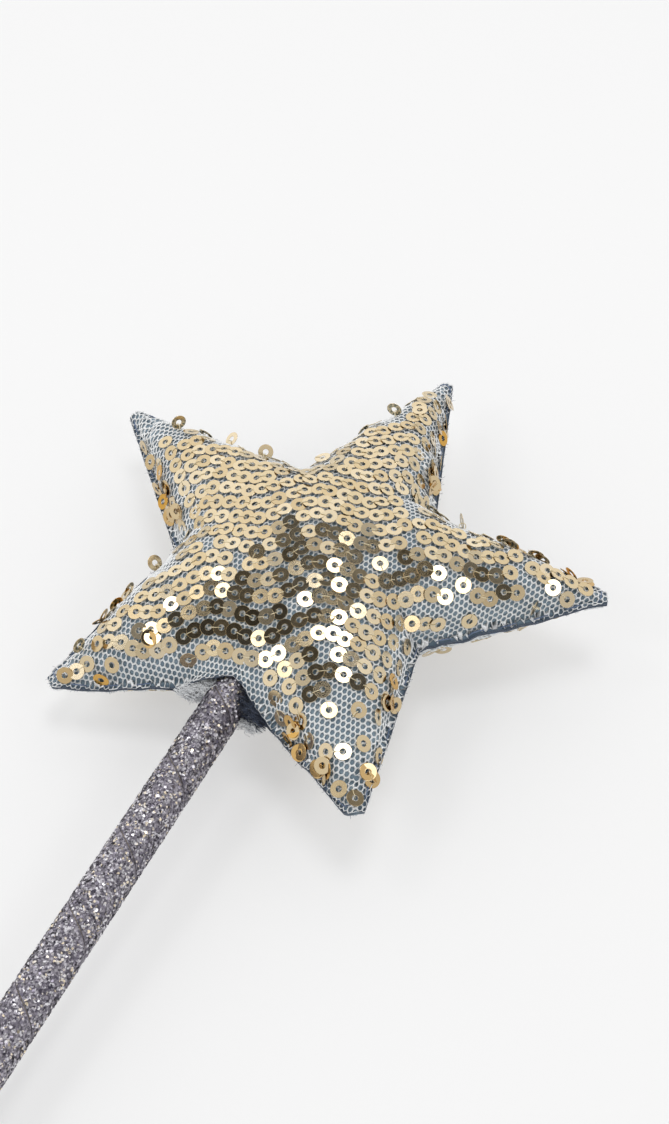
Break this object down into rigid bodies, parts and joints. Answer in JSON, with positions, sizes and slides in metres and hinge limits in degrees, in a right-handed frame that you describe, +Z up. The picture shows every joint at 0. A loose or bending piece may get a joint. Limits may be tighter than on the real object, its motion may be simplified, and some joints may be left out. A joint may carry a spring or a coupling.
{
  "type": "toy magic wand",
  "caption": "Toy magic wand: stuffed five-pointed star of sequinned net on a round stick wound with glitter tape, for pretend play.",
  "frame": {"origin": "on the table under the middle of the wand's box, lying on its back", "axes": "+Z up, +Y along the stick towards the star, +X to the right of the star seen from above"},
  "size_m": [0.1382, 0.3499, 0.0363],
  "materials": {
    "dowel_wood": "plain sanded",
    "glitter_tape": "coarse glitter",
    "glue": "dried, cloudy",
    "stuffing_fibre": "loose fibre",
    "blue_cloth": "woven, raw edges",
    "white_net": "fine hexagonal net",
    "blue_thread": "sewing thread",
    "cream_thread": "fine thread",
    "gold_sequin": "metallised gold film"
  },
  "bodies": {
    "wand": {"stick_core": "dowel_wood", "glitter_wrap": "glitter_tape", "butt_band": "glitter_tape", "glue_collar": "glue", "stuffing": "stuffing_fibre", "front_cloth": "blue_cloth", "back_cloth": "blue_cloth", "front_net": "white_net", "back_net": "white_net", "seam_thread": "blue_thread", "front_sequins_middle": "gold_sequin", "back_sequins_middle": "gold_sequin", "sequin_loops": "cream_thread", "front_sequins_top": "gold_sequin", "front_sequins_right": "gold_sequin", "front_sequins_lower_right": "gold_sequin", "front_sequins_lower_left": "gold_sequin", "front_sequins_left": "gold_sequin", "back_sequins_top": "gold_sequin", "back_sequins_right": "gold_sequin", "back_sequins_lower_right": "gold_sequin", "back_sequins_lower_left": "gold_sequin", "back_sequins_left": "gold_sequin"},
    "loose_sequin_1": {"loose_sequin_1": "gold_sequin"},
    "loose_sequin_2": {"loose_sequin_2": "gold_sequin"},
    "loose_sequin_3": {"loose_sequin_3": "gold_sequin"},
    "loose_sequin_4": {"loose_sequin_4": "gold_sequin"},
    "loose_sequin_5": {"loose_sequin_5": "gold_sequin"},
    "loose_sequin_6": {"loose_sequin_6": "gold_sequin"},
    "loose_sequin_7": {"loose_sequin_7": "gold_sequin"},
    "loose_sequin_8": {"loose_sequin_8": "gold_sequin"},
    "loose_sequin_9": {"loose_sequin_9": "gold_sequin"}
  },
  "joints": [
    {"name": "loose_sequin_1_flip", "type": "hinge", "parent": "wand", "child": "loose_sequin_1", "pos_m": [-0.00379, 0.15192, 0.02484], "axis": [-0.879, -0.1957, -0.4349], "range_deg": [-55, 75]},
    {"name": "loose_sequin_2_flip", "type": "hinge", "parent": "wand", "child": "loose_sequin_2", "pos_m": [-0.02749, 0.12364, 0.02363], "axis": [-0.9824, -0.1075, 0.1525], "range_deg": [-60, 70]},
    {"name": "loose_sequin_3_flip", "type": "hinge", "parent": "wand", "child": "loose_sequin_3", "pos_m": [-0.03804, 0.1239, 0.02281], "axis": [-0.8705, 0.2287, -0.4358], "range_deg": [-75, 55]},
    {"name": "loose_sequin_4_flip", "type": "hinge", "parent": "wand", "child": "loose_sequin_4", "pos_m": [0.02899, 0.12465, 0.02752], "axis": [-0.4785, 0.5644, -0.6727], "range_deg": [-40, 90]},
    {"name": "loose_sequin_5_flip", "type": "hinge", "parent": "wand", "child": "loose_sequin_5", "pos_m": [0.05476, 0.11302, 0.02446], "axis": [0.0662, 0.6682, 0.741], "range_deg": [-35, 95]},
    {"name": "loose_sequin_6_flip", "type": "hinge", "parent": "wand", "child": "loose_sequin_6", "pos_m": [0.03187, 0.06372, 0.02797], "axis": [0.9396, -0.2376, -0.2464], "range_deg": [-20, 110]},
    {"name": "loose_sequin_7_flip", "type": "hinge", "parent": "wand", "child": "loose_sequin_7", "pos_m": [-0.05262, 0.12241, 0.02307], "axis": [-0.6063, -0.7606, 0.2323], "range_deg": [-60, 70]},
    {"name": "loose_sequin_8_flip", "type": "hinge", "parent": "wand", "child": "loose_sequin_8", "pos_m": [-0.03862, 0.05404, 0.01836], "axis": [-0.1199, -0.9733, -0.1955], "range_deg": [-45, 85]},
    {"name": "loose_sequin_9_flip", "type": "hinge", "parent": "wand", "child": "loose_sequin_9", "pos_m": [-0.03392, 0.08229, 0.02099], "axis": [-0.1286, -0.9917, 0], "range_deg": [-60, 70]}
  ]
}
